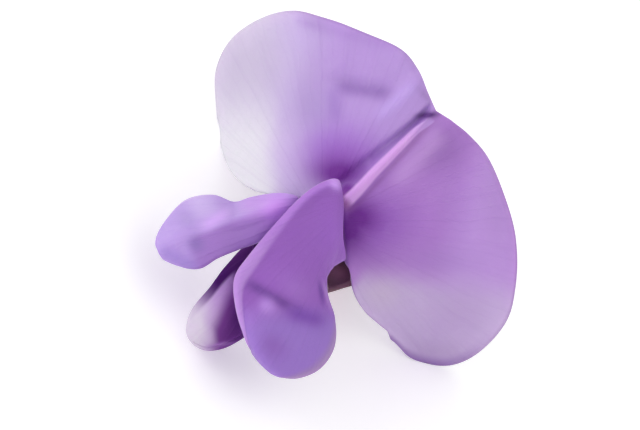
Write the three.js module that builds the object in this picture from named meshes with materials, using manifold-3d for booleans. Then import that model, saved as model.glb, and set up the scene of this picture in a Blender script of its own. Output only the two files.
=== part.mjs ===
// A single hyacinth bean flower (Lablab purpureus), as picked, lying on a surface. Millimetres, +Z up.
//
// It is shaped in two frames of its own and then laid down:
//   face frame    x across the standard petal, y from the throat towards the notch, z out of the face.
//                 Its origin is the throat, where the crease of the standard petal starts.
//   flower frame  X across, Y back along the calyx, Z towards the notch. It shares that origin.
import * as THREE from "three";
import { mergeVertices } from "three/addons/utils/BufferGeometryUtils.js";
import Module from "manifold-3d";

const wasm = await Module();
wasm.setup();

const { degToRad, smoothstep } = THREE.MathUtils;
const vec = (x, y, z) => new THREE.Vector3(x, y, z);

const PETAL = 0.6; // thickness of every petal blade
const FLAT_SPOT = 0.08; // how deep the low points are flattened where they rest

// The calyx points away from the face, a little to one side and upwards.
const YAW = degToRad(12);
const PITCH = degToRad(18);
const ACROSS = vec(Math.cos(YAW), -Math.sin(YAW) * Math.sin(PITCH), Math.sin(YAW) * Math.cos(PITCH));
const BACK = vec(Math.sin(YAW), Math.cos(YAW) * Math.sin(PITCH), -Math.cos(YAW) * Math.cos(PITCH));
const TOP = vec(0, Math.cos(PITCH), Math.sin(PITCH));

// A point of the flower frame, in the face frame.
function flower(X, Y, Z) {
  return vec(0, 0, 0).addScaledVector(ACROSS, X).addScaledVector(BACK, Y).addScaledVector(TOP, Z);
}

// A smooth curve through points, read at t from 0 to 1.
function through(points) {
  const curve = new THREE.CatmullRomCurve3(points, false, "catmullrom", 0.5);
  return (t) => curve.getPoint(Math.min(1, Math.max(0, t)));
}

const smooth = (low, high, x) => (low < high ? smoothstep(x, low, high) : 1 - smoothstep(x, high, low));
const bump = (x, width) => Math.exp(-((x / width) ** 2));

// Closes triangles of points into one geometry, and drops those that have no area.
function closed(triangles) {
  const loose = new THREE.BufferGeometry();
  const flat = triangles.flat().flatMap((p) => [p.x, p.y, p.z]);
  loose.setAttribute("position", new THREE.Float32BufferAttribute(flat, 3));
  const merged = mergeVertices(loose, 1e-4);
  const index = merged.index.array;
  const kept = [];
  for (let i = 0; i < index.length; i += 3) {
    const [a, b, c] = [index[i], index[i + 1], index[i + 2]];
    if (a !== b && b !== c && c !== a) kept.push(a, b, c);
  }
  merged.setIndex(kept);
  return merged;
}

// The unit normal at each point of a grid of rows. A point on the border takes its inner neighbour's.
function normalsOf(rows) {
  const inner = (k, last) => Math.min(Math.max(k, 1), last - 1);
  const [lastRow, lastColumn] = [rows.length - 1, rows[0].length - 1];
  return rows.map((row, i) =>
    row.map((_, j) => {
      const [r, c] = [inner(i, lastRow), inner(j, lastColumn)];
      const along = rows[r + 1][c].clone().sub(rows[r - 1][c]);
      return rows[r][c + 1].clone().sub(rows[r][c - 1]).cross(along).normalize();
    }),
  );
}

// A blade of even thickness round a grid of rows, which run from the petal's base to its tip.
function blade(rows, thickness = PETAL) {
  const normals = normalsOf(rows);
  const face = (side) =>
    rows.map((row, i) => row.map((p, j) => p.clone().addScaledVector(normals[i][j], (side * thickness) / 2)));
  const [front, back] = [face(1), face(-1)];
  const triangles = [];
  const quad = (a, b, c, d) => triangles.push([a, b, c], [a, c, d]);
  const [lastRow, lastColumn] = [rows.length - 1, rows[0].length - 1];
  for (let i = 0; i < lastRow; i++) {
    for (let j = 0; j < lastColumn; j++) {
      quad(front[i][j], front[i][j + 1], front[i + 1][j + 1], front[i + 1][j]);
      quad(back[i + 1][j + 1], back[i][j + 1], back[i][j], back[i + 1][j]);
    }
    quad(back[i][0], front[i][0], front[i + 1][0], back[i + 1][0]);
    quad(front[i][lastColumn], back[i][lastColumn], back[i + 1][lastColumn], front[i + 1][lastColumn]);
  }
  for (let j = 0; j < lastColumn; j++) {
    quad(back[0][j], back[0][j + 1], front[0][j + 1], front[0][j]);
    quad(front[lastRow][j], front[lastRow][j + 1], back[lastRow][j + 1], back[lastRow][j]);
  }
  return closed(triangles);
}

// A closed body from rings of points, of which the first and last are single points.
function rings(rows) {
  const triangles = [];
  for (let i = 0; i + 1 < rows.length; i++) {
    rows[i].forEach((p, j) => {
      const k = (j + 1) % rows[i].length;
      triangles.push([p, rows[i][k], rows[i + 1][k]], [p, rows[i + 1][k], rows[i + 1][j]]);
    });
  }
  return closed(triangles);
}

// The standard: a petal with a gutter over the claws of the others, and two broad lobes that bend back on
// both sides of a pinched crease. The edges run from the claw out along the lower margin and up to the notch.
const MIDLINE_CLAW = [flower(0.12, 6.2, -0.88), flower(0.1, 4.6, -0.82), flower(0.05, 3.2, -0.48), flower(0, 1.6, 0.25)];
const MIDLINE_CREASE = [
  vec(-0.1, -0.28, 0.75), vec(-0.02, 0.3, 1.4), vec(0, 1.5, 1.55), vec(0, 3.2, 1.4), vec(0, 4.7, 1.2), vec(0.03, 5.7, 1.0),
];
const EDGE_RIGHT_CLAW = [
  flower(0.85, 6.2, -1.2), flower(0.92, 4.6, -1.15), flower(1.35, 3.2, -1.15), flower(2.05, 2.0, -1.4),
];
const EDGE_LEFT_CLAW = [
  flower(-0.62, 6.2, -1.2), flower(-0.72, 4.6, -1.15), flower(-1.1, 3.2, -1.12), flower(-1.75, 2.0, -1.3),
];
const EDGE_RIGHT_LOBE = [
  vec(2.25, -1.75, -1.8), vec(2.65, -2.22, -1.65), vec(3.35, -2.8, -1.6), vec(4.6, -3.15, 0), vec(6.1, -3.1, 0),
  vec(7.5, -3.0, 0), vec(8.65, -2.15, 0), vec(9.3, -0.55, 0), vec(9.1, 1.1, 0), vec(8.2, 2.6, 0), vec(6.6, 4.2, 0),
  vec(4.8, 5.25, 0), vec(3.2, 5.85, 0), vec(1.9, 6.05, 0), vec(0.8, 5.95, 0),
];
const EDGE_LEFT_LOBE = [
  vec(-1.95, -1.55, -1.8), vec(-2.6, -2.1, -1.6), vec(-3.4, -2.6, -1.6), vec(-4.6, -2.85, 0), vec(-5.9, -2.35, 0),
  vec(-7.4, -1.1, 0), vec(-8.4, 0.0, 0), vec(-8.8, 1.4, 0), vec(-8.5, 3.0, 0), vec(-7.7, 4.35, 0), vec(-6.3, 5.25, 0),
  vec(-4.3, 6.15, 0), vec(-2.95, 6.6, 0), vec(-1.8, 6.5, 0), vec(-0.75, 6.15, 0),
];
const BEND = { left: 0.36, right: 0.3 }; // how far the lobes bend back
const BEND_POWER = 1.3;
const DROP = 3.75; // how much further their lower corners hang back
// The crease is pinched into a ridge with a groove on its left. Both taper towards the notch.
const RIDGE = 0.45;
const RIDGE_WIDTH = 0.3;
const RIDGE_TAPER = 0.55;
const GROOVE = 0.3;
const GROOVE_AT = -0.65;
const GUTTER_ARCH = 0.22;
const CLAW_ROWS = 9;
const BLADE_ROWS = 22;
const SHARES = [0, 0.03, 0.065, 0.11, 0.17, 0.26, 0.36, 0.47, 0.59, 0.71, 0.82, 0.92, 1];

// How far a point of the lobes lies behind the crease.
function lobeDepth(x, y, v) {
  const width = Math.abs(x);
  const bend = (x < 0 ? BEND.left : BEND.right) * width ** BEND_POWER * (0.35 + smooth(5, -3, y));
  const drop = DROP * smooth(2.2, -2.4, y) * smooth(2, 7, width);
  const open = smooth(0, 0.15, v) * smooth(1, 0.9, v);
  const narrow = 1 - RIDGE_TAPER * smooth(0, 5.5, y);
  const ridge = RIDGE * narrow * bump(x, RIDGE_WIDTH * narrow) * open;
  const groove = GROOVE * bump(x - GROOVE_AT * narrow, RIDGE_WIDTH * narrow) * open;
  return bend + drop - ridge + groove;
}

function standardRows() {
  const midline = through([...MIDLINE_CLAW, ...MIDLINE_CREASE]);
  const right = through([...EDGE_RIGHT_CLAW, ...EDGE_RIGHT_LOBE]);
  const left = through([...EDGE_LEFT_CLAW, ...EDGE_LEFT_LOBE]);
  const middleBend = MIDLINE_CLAW.length / (MIDLINE_CLAW.length + MIDLINE_CREASE.length - 1);
  const edgeBend = EDGE_RIGHT_CLAW.length / (EDGE_RIGHT_CLAW.length + EDGE_RIGHT_LOBE.length - 1);
  const shares = [...SHARES.slice(1).map((u) => -u).reverse(), ...SHARES];
  const rows = [];
  for (let i = 0; i < CLAW_ROWS; i++) {
    const t = i / CLAW_ROWS;
    const p = midline(middleBend * t);
    rows.push(
      shares.map((u) => {
        const arch = 4 * GUTTER_ARCH * Math.abs(u) * (1 - Math.abs(u));
        return p.clone().lerp((u < 0 ? left : right)(edgeBend * t), Math.abs(u)).addScaledVector(TOP, arch);
      }),
    );
  }
  for (let i = 0; i <= BLADE_ROWS; i++) {
    const v = i / BLADE_ROWS;
    const p = midline(middleBend + (1 - middleBend) * v);
    const throat = 1 - smooth(0, 0.2, v);
    rows.push(
      shares.map((u) => {
        const edge = (u < 0 ? left : right)(edgeBend + (1 - edgeBend) * v);
        const q = p.clone().lerp(edge, Math.abs(u));
        const steep = p.z + (edge.z - p.z) * Math.sin((Math.abs(u) * Math.PI) / 2);
        const open = p.z - lobeDepth(q.x, q.y, v);
        return q.setZ(open + (steep - open) * throat);
      }),
    );
  }
  return rows;
}

// A wing lies between two margins, and bulges out of the face between them.
const WING_RIGHT = {
  upper: [
    flower(1.1, 6.2, -1.65), flower(1.1, 4.2, -1.72), vec(1.08, -2.12, -1.6), vec(1.15, -2.25, -0.35),
    vec(1.45, -2.05, 0.85), vec(0.85, -1.0, 1.85), vec(-0.25, 0.1, 2.65), vec(-1.05, 0.25, 3.0), vec(-1.5, -0.95, 3.15),
    vec(-1.5, -3.0, 3.4), vec(-1.33, -4.85, 3.55), vec(-0.95, -6.1, 3.6), vec(-0.15, -6.95, 3.6), vec(1.0, -7.65, 3.4),
    vec(2.1, -7.95, 3.2),
  ],
  lower: [
    flower(1.1, 6.2, -2.35), flower(1.1, 4.2, -2.4), vec(1.15, -2.67, -1.6), vec(1.3, -2.8, -0.3), vec(1.55, -2.75, 0.5),
    vec(1.68, -2.75, 0.9), vec(1.76, -3.0, 0.95), vec(2.0, -3.5, 0.8), vec(2.7, -4.0, 0.7), vec(3.6, -4.35, 0.8),
    vec(4.35, -5.2, 1.2), vec(4.6, -6.3, 1.8), vec(4.25, -7.3, 2.5), vec(3.6, -7.75, 2.9), vec(2.95, -7.95, 3.1),
  ],
  bulge: 0.55,
};
const WING_LEFT = {
  upper: [
    flower(-0.82, 6.2, -1.65), flower(-0.85, 4.2, -1.7), vec(-0.95, -2.0, -1.6), vec(-1.05, -2.1, -0.2),
    vec(-1.35, -1.75, 1.0), vec(-1.8, -1.3, 1.8), vec(-2.5, -1.9, 1.6), vec(-3.1, -3.0, 1.1), vec(-3.6, -3.8, 0.8),
    vec(-4.5, -4.2, 0.7), vec(-5.2, -5.1, 0.8), vec(-5.3, -6.2, 1.1), vec(-4.95, -7.1, 1.6), vec(-4.3, -7.6, 2.1),
  ],
  lower: [
    flower(-0.82, 6.2, -2.35), flower(-0.85, 4.2, -2.4), vec(-0.95, -2.62, -1.6), vec(-0.95, -2.7, -0.2),
    vec(-1.15, -2.5, 0.8), vec(-1.35, -2.6, 1.5), vec(-1.55, -3.3, 2.1), vec(-1.7, -4.2, 2.6), vec(-1.85, -5.2, 2.9),
    vec(-2.05, -6.2, 3.1), vec(-2.4, -7.0, 3.1), vec(-2.85, -7.5, 2.9), vec(-3.3, -7.7, 2.6), vec(-3.8, -7.75, 2.35),
  ],
  bulge: 0.8,
};
const WING_ROWS = 24;
const WING_COLUMNS = 10;

function wingRows({ upper, lower, bulge }) {
  const [near, far] = [through(upper), through(lower)];
  return Array.from({ length: WING_ROWS + 1 }, (_, i) => {
    const t = i / WING_ROWS;
    const rise = 4 * bulge * smooth(0.25, 0.5, t) * smooth(0, 3, near(t).distanceTo(far(t)));
    return Array.from({ length: WING_COLUMNS + 1 }, (_, j) => {
      const s = j / WING_COLUMNS;
      const p = near(t).lerp(far(t), s);
      return p.setZ(p.z + rise * s * (1 - s));
    });
  });
}

// The keel: two petals grown together below into a boat with an upturned beak. Its left side curls over the
// boat and closes the beak, and its right side stands open. Both wraps are in degrees from the middle line.
const KEEL = [
  { at: flower(0.15, 6.2, -2.95), half: 1.2, wall: 1.2, left: 22, right: 22 },
  { at: flower(0.15, 4.2, -3.05), half: 1.2, wall: 1.2, left: 24, right: 24 },
  { at: flower(0.1, 2.4, -3.6), half: 1.05, wall: 1.0, left: 38, right: 38 },
  { at: vec(-0.05, -4.8, -2.4), half: 1.05, wall: 1.0, left: 88, right: 76 },
  { at: vec(-0.3, -6.4, -1.7), half: 1.2, wall: 1.4, left: 125, right: 90 },
  { at: vec(-0.4, -7.8, -0.8), half: 1.3, wall: 1.5, left: 140, right: 95 },
  { at: vec(-0.45, -8.9, 0.5), half: 1.25, wall: 1.3, left: 142, right: 95 },
  { at: vec(-0.4, -9.25, 1.8), half: 1.1, wall: 1.0, left: 125, right: 90 },
  { at: vec(-0.3, -9.0, 2.7), half: 0.95, wall: 0.8, left: 98, right: 78 },
  { at: vec(-0.2, -8.45, 3.2), half: 0.8, wall: 0.6, left: 80, right: 62 },
];
const KEEL_ROWS = 28;
const KEEL_COLUMNS = 16;

function keelRows() {
  const spine = through(KEEL.map((k) => k.at));
  const size = through(KEEL.map((k) => vec(k.half, k.wall, 0)));
  const wraps = through(KEEL.map((k) => vec(degToRad(k.left), degToRad(k.right), 0)));
  return Array.from({ length: KEEL_ROWS + 1 }, (_, i) => {
    const t = i / KEEL_ROWS;
    const ahead = spine(t + 0.01).sub(spine(t - 0.01)).normalize();
    const across = vec(1, 0, 0).addScaledVector(ahead, -ahead.x).normalize();
    const up = ahead.clone().cross(across);
    const { x: half, y: wall } = size(t);
    const { x: left, y: right } = wraps(t);
    return Array.from({ length: KEEL_COLUMNS + 1 }, (_, j) => {
      const angle = THREE.MathUtils.lerp(-left, right, j / KEEL_COLUMNS);
      return spine(t).addScaledVector(across, half * Math.sin(angle)).addScaledVector(up, wall * (1 - Math.cos(angle)));
    });
  });
}

// The calyx: a ribbed bell of fused sepals with four pointed teeth, the broad one of two grown together.
const CALYX_AXIS = { X: 0.15, Z: -1.8 };
const CALYX_BASE = 8.0;
const CALYX_DEPTH = 4.1;
const CALYX_FLOOR = 1.15;
const CALYX_WALL = 0.6;
const CALYX_TURN = degToRad(-34);
const CALYX_PROFILE = [[0, 0.9], [0.35, 1.5], [0.9, 2.05], [1.8, 2.42], [2.6, 2.5], [3.5, 2.45], [4.6, 2.68], [6.4, 3.2]];
const RIBS = 10;
const RIB = 0.1;
const TEETH = [
  { at: degToRad(90), half: 0.75, length: 1.7 },
  { at: degToRad(204), half: 0.42, length: 2.0 },
  { at: degToRad(270), half: 0.42, length: 2.1 },
  { at: degToRad(342), half: 0.42, length: 2.0 },
];
const CALYX_COLUMNS = 50;
const CALYX_ROWS = 9;

const turnBetween = (a, b) => Math.abs(Math.atan2(Math.sin(a - b), Math.cos(a - b)));

function toothLength(angle) {
  return Math.max(0, ...TEETH.map((tooth) => tooth.length * (1 - turnBetween(angle, tooth.at) / tooth.half)));
}

// The bell's outer radius at a depth from its base.
function calyxRadius(depth) {
  const next = Math.max(1, CALYX_PROFILE.findIndex(([d]) => d >= depth));
  const [[d0, r0], [d1, r1]] = [CALYX_PROFILE[next - 1], CALYX_PROFILE[next]];
  return THREE.MathUtils.lerp(r0, r1, Math.max(0, (depth - d0) / (d1 - d0)));
}

function calyx() {
  const angles = Array.from({ length: CALYX_COLUMNS }, (_, j) => (j / CALYX_COLUMNS) * 2 * Math.PI);
  const place = (radius, angle, depth) =>
    flower(
      CALYX_AXIS.X + radius * Math.cos(angle + CALYX_TURN),
      CALYX_BASE - depth,
      CALYX_AXIS.Z + radius * Math.sin(angle + CALYX_TURN),
    );
  const ring = (share, inside) =>
    angles.map((angle) => {
      const rim = CALYX_DEPTH + toothLength(angle) * smooth(0.45, 1, share);
      const lowest = inside ? CALYX_FLOOR : 0;
      const depth = lowest + (rim - lowest) * share;
      const rib = RIB * bump((((angle * RIBS) / (2 * Math.PI) + 0.5) % 1) - 0.5, 0.17);
      return place(calyxRadius(depth) + (inside ? -CALYX_WALL : rib), angle, depth);
    });
  const shares = Array.from({ length: CALYX_ROWS + 1 }, (_, i) => i / CALYX_ROWS);
  const point = (depth) => angles.map(() => place(0, 0, depth));
  return rings([
    point(0),
    ...shares.map((s) => ring(s, false)),
    ...shares.reverse().map((s) => ring(s, true)),
    point(CALYX_FLOOR),
  ]);
}

// A tapered round stalk along a path of { at, radius }.
function stalk(stations, rows, sides) {
  const path = through(stations.map((s) => s.at));
  const radii = through(stations.map((s) => vec(s.radius, 0, 0)));
  const loops = Array.from({ length: rows + 1 }, (_, i) => {
    const t = i / rows;
    const ahead = path(t + 0.01).sub(path(t - 0.01)).normalize();
    const across = vec(1, 0, 0).addScaledVector(ahead, -ahead.x).normalize();
    const up = ahead.clone().cross(across);
    return Array.from({ length: sides }, (_, j) => {
      const angle = (2 * Math.PI * j) / sides;
      const radius = radii(t).x;
      return path(t).addScaledVector(across, radius * Math.cos(angle)).addScaledVector(up, radius * Math.sin(angle));
    });
  });
  const cap = (t) => Array.from({ length: sides }, () => path(t));
  return rings([cap(0), ...loops, cap(1)]);
}

const PEDICEL = [
  { at: flower(0.15, 8.35, -1.8), radius: 0.62 },
  { at: flower(0.15, 8.8, -1.8), radius: 0.5 },
  { at: flower(0.2, 9.6, -1.6), radius: 0.44 },
  { at: flower(0.3, 10.4, -1.2), radius: 0.48 },
];
const COLUMN = [
  { at: flower(0.13, 6.2, -1.88), radius: 0.3 },
  { at: flower(0.13, 4.2, -1.9), radius: 0.3 },
  { at: flower(0.02, 2.6, -2.2), radius: 0.32 },
  { at: vec(0.0, -3.4, -1.5), radius: 0.35 },
  { at: vec(-0.1, -4.7, -0.8), radius: 0.36 },
  { at: vec(-0.1, -5.9, -0.1), radius: 0.32 },
  { at: vec(-0.05, -6.8, 0.8), radius: 0.2 },
];

// Laid down, the flower rests on the keel and on the lower corners of both lobes. +Z is straight up, the face looks
// towards -Y, and the origin is the bottom centre of the bounding box. These three are directions and a point
// of the face frame.
const UP = vec(0.0873, 0.7547, 0.6502).normalize();
const AWAY = vec(0, 1, 0).addScaledVector(UP, -UP.y).normalize();
const BOTTOM_CENTRE = vec(0.2773, -5.0053, -4.6892);

const layDown = new THREE.Matrix4()
  .makeBasis(AWAY.clone().cross(UP), AWAY, UP)
  .transpose()
  .multiply(new THREE.Matrix4().makeTranslation(BOTTOM_CENTRE.clone().addScaledVector(UP, FLAT_SPOT).negate()));

// Cuts off what lies below the surface that the flower rests on, which leaves a flat spot.
function rested(geometry) {
  const mesh = new wasm.Mesh({
    numProp: 3,
    vertProperties: new Float32Array(geometry.attributes.position.array),
    triVerts: new Uint32Array(geometry.index.array),
  });
  const { vertProperties, triVerts } = new wasm.Manifold(mesh).trimByPlane([0, 0, 1], 0).getMesh();
  return new THREE.BufferGeometry()
    .setAttribute("position", new THREE.BufferAttribute(vertProperties, 3))
    .setIndex(new THREE.BufferAttribute(triVerts, 1));
}

const parts = [
  ["standard_petal", blade(standardRows()), "#b49bd6", 0.55],
  ["wing_petal_right", blade(wingRows(WING_RIGHT)), "#8757b3", 0.5],
  ["wing_petal_left", blade(wingRows(WING_LEFT).map((row) => row.reverse())), "#9a78c8", 0.5],
  ["keel_petals", blade(keelRows()), "#cbbcd8", 0.5],
  ["stamens_and_pistil", stalk(COLUMN, 22, 10), "#e3cfd0", 0.6],
  ["calyx", calyx(), "#3b2430", 0.4],
  ["pedicel", stalk(PEDICEL, 8, 14), "#9aa63f", 0.6],
];

const group = new THREE.Group();
for (const [name, geometry, color, roughness] of parts) {
  const material = new THREE.MeshStandardMaterial({ color, roughness, metalness: 0 });
  const mesh = new THREE.Mesh(rested(geometry.applyMatrix4(layDown)), material);
  mesh.name = name;
  group.add(mesh);
}
export default group;
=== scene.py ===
# A hyacinth bean flower, lying on a pale surface. Metres, in the frame of the CAD part.
import math

import bpy
import numpy as np
from mathutils import Matrix, Vector


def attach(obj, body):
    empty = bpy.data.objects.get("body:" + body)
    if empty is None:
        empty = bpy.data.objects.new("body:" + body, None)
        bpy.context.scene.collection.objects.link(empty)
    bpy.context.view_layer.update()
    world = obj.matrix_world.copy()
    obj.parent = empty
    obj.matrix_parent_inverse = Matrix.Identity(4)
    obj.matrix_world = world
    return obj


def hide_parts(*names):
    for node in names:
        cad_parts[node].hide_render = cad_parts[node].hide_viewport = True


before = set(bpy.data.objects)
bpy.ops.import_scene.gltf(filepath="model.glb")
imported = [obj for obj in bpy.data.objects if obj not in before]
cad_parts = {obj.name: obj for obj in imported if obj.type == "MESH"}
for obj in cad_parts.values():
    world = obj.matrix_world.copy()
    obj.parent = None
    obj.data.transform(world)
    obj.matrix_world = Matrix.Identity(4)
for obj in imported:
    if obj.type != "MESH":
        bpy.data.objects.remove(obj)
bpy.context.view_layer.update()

MM = 0.001


# ---- Frames --------------------------------------------------------------------------------------
def vec(*numbers):
    return np.array(numbers, float)


def unit(v):
    return v / np.linalg.norm(v, axis=-1, keepdims=True)


# The face frame, in millimetres: x across the standard petal, y towards the notch, z out of the face.
YAW, PITCH = math.radians(12), math.radians(18)
ACROSS = vec(math.cos(YAW), -math.sin(YAW) * math.sin(PITCH), math.sin(YAW) * math.cos(PITCH))
BACK = vec(math.sin(YAW), math.cos(YAW) * math.sin(PITCH), -math.cos(YAW) * math.cos(PITCH))
TOP = vec(0, math.cos(PITCH), math.sin(PITCH))
# The part's frame, as in the CAD part: the rows of TO_PART are its directions and ORIGIN is its origin, in
# the face frame. The low points are flattened FLAT_SPOT deep, where they rest on the floor.
UP = unit(vec(0.0873, 0.7547, 0.6502))
AWAY = unit(vec(0, 1, 0) - UP * UP[1])
TO_PART = np.array([np.cross(AWAY, UP), AWAY, UP])
FLAT_SPOT = 0.08
ORIGIN = vec(0.2773, -5.0053, -4.6892) + FLAT_SPOT * UP


# Points of the flower frame, whose Y runs back along the calyx, in the face frame.
def flower(X, Y, Z):
    return np.multiply.outer(X, ACROSS) + np.multiply.outer(Y, BACK) + np.multiply.outer(Z, TOP)


def to_part(points):
    return (points - ORIGIN) @ TO_PART.T * MM


# ---- Curves and steps ----------------------------------------------------------------------------
# A smooth curve through points, read at t from 0 to 1.
def through(points):
    p = np.array(points, float)
    ends = np.vstack([2 * p[0] - p[1], p, 2 * p[-1] - p[-2]])

    def at(t):
        place = np.clip(np.asarray(t, float), 0, 1) * (len(p) - 1)
        i = np.minimum(place.astype(int), len(p) - 2)
        f = (place - i)[..., None]
        a, b, c, d = ends[i], ends[i + 1], ends[i + 2], ends[i + 3]
        square, cube = (2 * a - 5 * b + 4 * c - d) * f**2, (3 * b - a - 3 * c + d) * f**3
        return 0.5 * (2 * b + (c - a) * f + square + cube)

    return at


# 0 at low and 1 at high, with a soft step between them. Where high is less than low, it falls.
def smooth(low, high, x):
    s = np.clip((x - low) / (high - low), 0, 1)
    return s * s * (3 - 2 * s)


# A bell of height 1 round 0.
def bump(x, width):
    return np.exp(-((x / width) ** 2))


# A round hill of height 1 at a point of the face.
def hill(x, y, centre, spread):
    return np.exp(-((x - centre[0]) ** 2 + (y - centre[1]) ** 2) / spread)


# How far x and y lie off a fold and how far along it, from the point where it starts.
def off_and_along(x, y, start, way):
    px, py = x - start[0], y - start[1]
    return px * -way[1] + py * way[0], px * way[0] + py * way[1]


# ---- Meshes --------------------------------------------------------------------------------------
# A mesh of points in the face frame. Its attribute spot keeps each point's place there, and place holds
# the piece's own u and v and its side. Nothing of it reaches below the floor.
def make_mesh(name, points, faces, place, material, node):
    points = np.asarray(points, float)
    mesh = bpy.data.meshes.new(name)
    world = to_part(points)
    world[:, 2] = np.maximum(world[:, 2], 0)
    mesh.from_pydata(world.tolist(), [], faces)
    for key, values in (("spot", points), ("place", place)):
        layer = mesh.attributes.new(key, "FLOAT_VECTOR", "POINT")
        layer.data.foreach_set("vector", np.asarray(values, np.float32).ravel())
    corner = np.empty(len(mesh.loops), int)
    mesh.loops.foreach_get("vertex_index", corner)
    uv = mesh.uv_layers.new(name="UVMap")
    uv.data.foreach_set("uv", np.asarray(place, np.float32)[corner, :2].ravel())
    mesh.polygons.foreach_set("use_smooth", [True] * len(mesh.polygons))
    mesh.materials.append(material)
    obj = bpy.data.objects.new(name, mesh)
    bpy.context.scene.collection.objects.link(obj)
    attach(obj, "root")
    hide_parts(node)


def normals_of(grid):
    along, across = np.gradient(grid, axis=0), np.gradient(grid, axis=1)
    return unit(np.cross(across, along))


PETAL_THICKNESS, THINNED_AT_RIM = 0.3, 0.7


# A thin petal round a grid of points. It thins from its middle, where rim is 0, to its border, where
# rim is 1, and lean moves it out of the grid's surface. level is 1 where the thickness is laid along z,
# as at a corner of the grid that has hardly any surface.
def petal(name, grid, u, v, rim, lean, material, node, level=0.0):
    level = np.broadcast_to(level, grid.shape[:2])[..., None]
    normals = unit(normals_of(grid) * (1 - level) + vec(0, 0, 1) * level)
    half = (PETAL_THICKNESS * (1 - THINNED_AT_RIM * rim**2) / 2)[..., None]
    front, back = grid + normals * (lean + half), grid + normals * (lean - half)
    rows, columns = grid.shape[:2]
    count = rows * columns
    index = np.arange(count).reshape(rows, columns)
    a, b, c, d = index[:-1, :-1], index[:-1, 1:], index[1:, 1:], index[1:, :-1]
    faces = np.stack([a, b, c, d], -1).reshape(-1, 4).tolist()
    faces += (np.stack([d, c, b, a], -1).reshape(-1, 4) + count).tolist()
    border = np.concatenate([index[0, :], index[1:, -1], index[-1, -2::-1], index[-2:0:-1, 0]])
    ring = np.roll(border, -1)
    faces += np.stack([ring, border, border + count, ring + count], -1).tolist()
    side = np.concatenate([np.ones(count), -np.ones(count)])
    place = np.stack([np.tile(u.ravel(), 2), np.tile(v.ravel(), 2), side], -1)
    points = np.concatenate([front.reshape(-1, 3), back.reshape(-1, 3)])
    make_mesh(name, points, faces, place, material, node)


# Joins rings of points into faces. start is the index of the first ring's first point.
def ring_faces(rings, sides, start=0):
    i, j = np.meshgrid(np.arange(rings - 1), np.arange(sides), indexing="ij")
    k = (j + 1) % sides
    quads = np.stack([i * sides + j, i * sides + k, (i + 1) * sides + k, (i + 1) * sides + j], -1)
    return (quads.reshape(-1, 4) + start).tolist()


# The two curves of a list of points with a radius each.
def path_and_radii(stations):
    points, radii = zip(*stations)
    return through(points), through([(radius,) * 3 for radius in radii])


# Round tubes along paths of points with a radius each, closed at both ends, gathered in one mesh. A
# tube's tag becomes the side of its points.
class Tubes:
    def __init__(self):
        self.points, self.faces, self.place = [], [], []

    def add(self, path, radii, sides, tag):
        path, radii = np.asarray(path, float), np.asarray(radii, float)
        ahead = unit(np.gradient(path, axis=0))
        across = unit(np.array([1.0, 0, 0]) - ahead * ahead[:, :1])
        up = np.cross(ahead, across)
        angle = np.arange(sides) * 2 * math.pi / sides
        spread = across[:, None] * np.cos(angle)[:, None] + up[:, None] * np.sin(angle)[:, None]
        ring = path[:, None] + spread * radii[:, None, None]
        start = sum(len(p) for p in self.points)
        rows = len(path)
        self.points.append(ring.reshape(-1, 3))
        self.faces += ring_faces(rows, sides, start)
        last = start + (rows - 1) * sides
        self.faces += [[start + j for j in range(sides)][::-1], [last + j for j in range(sides)]]
        u, v = np.meshgrid(np.arange(sides) / sides, np.arange(rows) / (rows - 1))
        self.place.append(np.stack([u.ravel(), v.ravel(), np.full(rows * sides, tag)], -1))

    def make(self, name, material, node):
        points, place = np.concatenate(self.points), np.concatenate(self.place)
        make_mesh(name, points, self.faces, place, material, node)


# ---- Shader nodes --------------------------------------------------------------------------------
def linear(r, g, b):
    return tuple(c / 12.92 if c <= 0.04045 else ((c + 0.055) / 1.055) ** 2.4 for c in (r, g, b)) + (1.0,)


# A number that comes out of a node, with the usual arithmetic.
class Number:
    def __init__(self, paint, socket):
        self.paint, self.socket = paint, socket

    def __add__(self, other):
        return self.paint.math("ADD", self, other)

    def __sub__(self, other):
        return self.paint.math("SUBTRACT", self, other)

    def __mul__(self, other):
        return self.paint.math("MULTIPLY", self, other)

    def __rsub__(self, other):
        return self.paint.math("SUBTRACT", other, self)

    def __neg__(self):
        return self * -1.0

    __radd__, __rmul__ = __add__, __mul__


# The picture's right and high lie at 45 degrees to the face frame's x and y.
SLANT = math.sqrt(0.5)


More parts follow.
